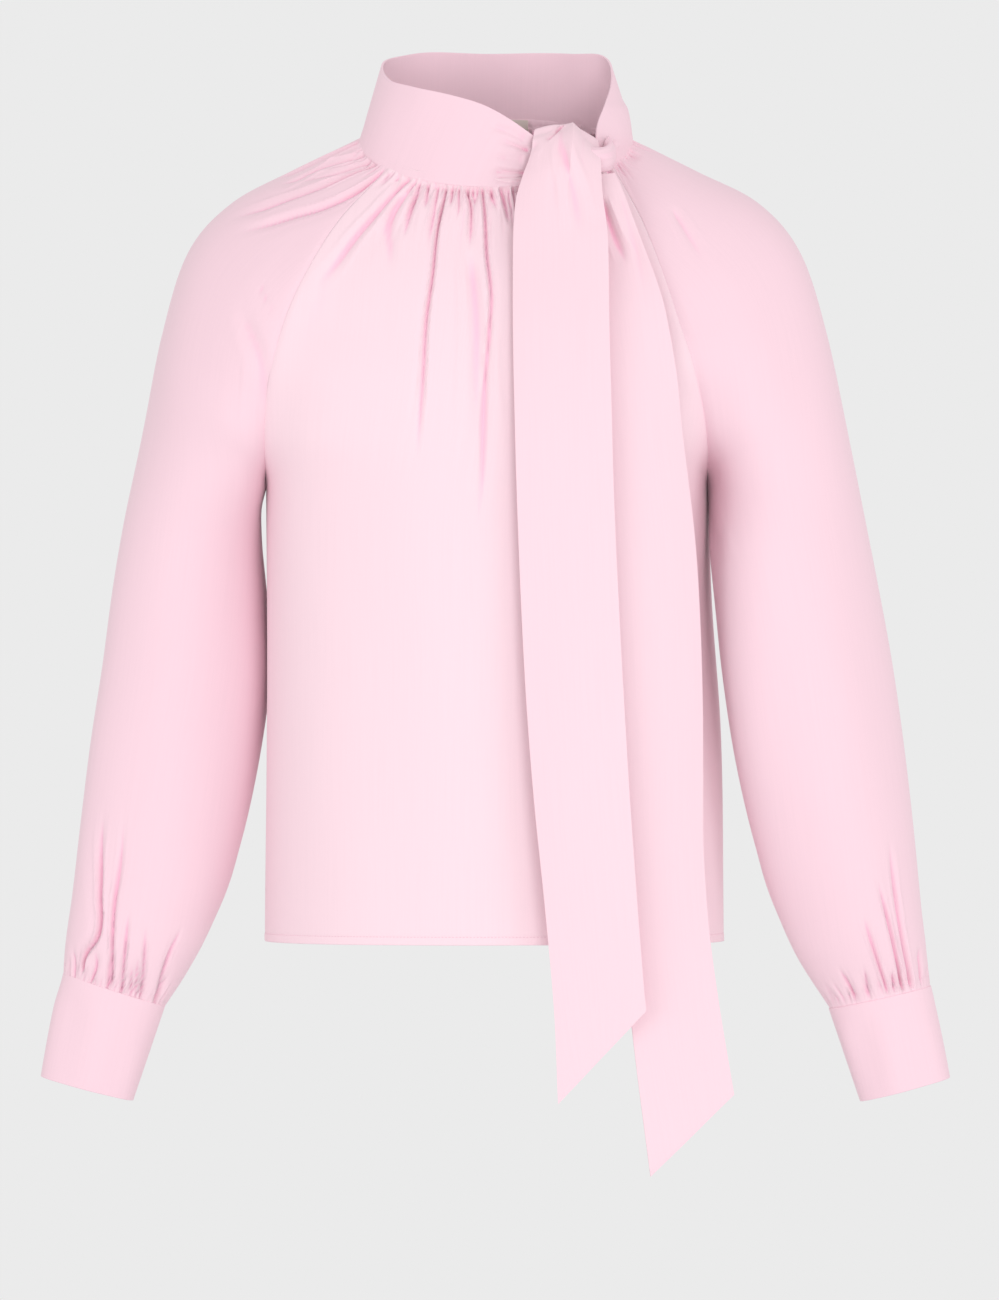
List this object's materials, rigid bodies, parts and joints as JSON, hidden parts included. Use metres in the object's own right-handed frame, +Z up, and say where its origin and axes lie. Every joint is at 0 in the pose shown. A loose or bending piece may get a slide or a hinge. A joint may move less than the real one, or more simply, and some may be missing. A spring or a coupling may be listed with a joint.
{
  "type": "tie neck blouse",
  "caption": "Long-sleeved blouse with raglan sleeves, a gathered neckline, plain cuffs and a standing neckband that runs on into two long tie tails.",
  "frame": {"origin": "middle of the wearer's neck, level with the shoulder ends of the neckline seam", "axes": "+Z up, the front faces -Y, the wearer's right sleeve is at -X and the wearer's left sleeve at +X"},
  "size_m": [0.6815, 0.232, 0.8292],
  "materials": {
    "poplin": "matt cotton poplin with a faint sheen, pale pink",
    "label_ribbon": "bare woven ribbon, greyish beige"
  },
  "bodies": {
    "root": {"front": "poplin", "back": "poplin", "sleeve_right": "poplin", "sleeve_left": "poplin", "cuff_right": "poplin", "cuff_left": "poplin", "neckband": "poplin", "tie_knot": "poplin", "tie_tail_front": "poplin", "tie_tail_back": "poplin", "neck_label": "label_ribbon"}
  },
  "joints": []
}
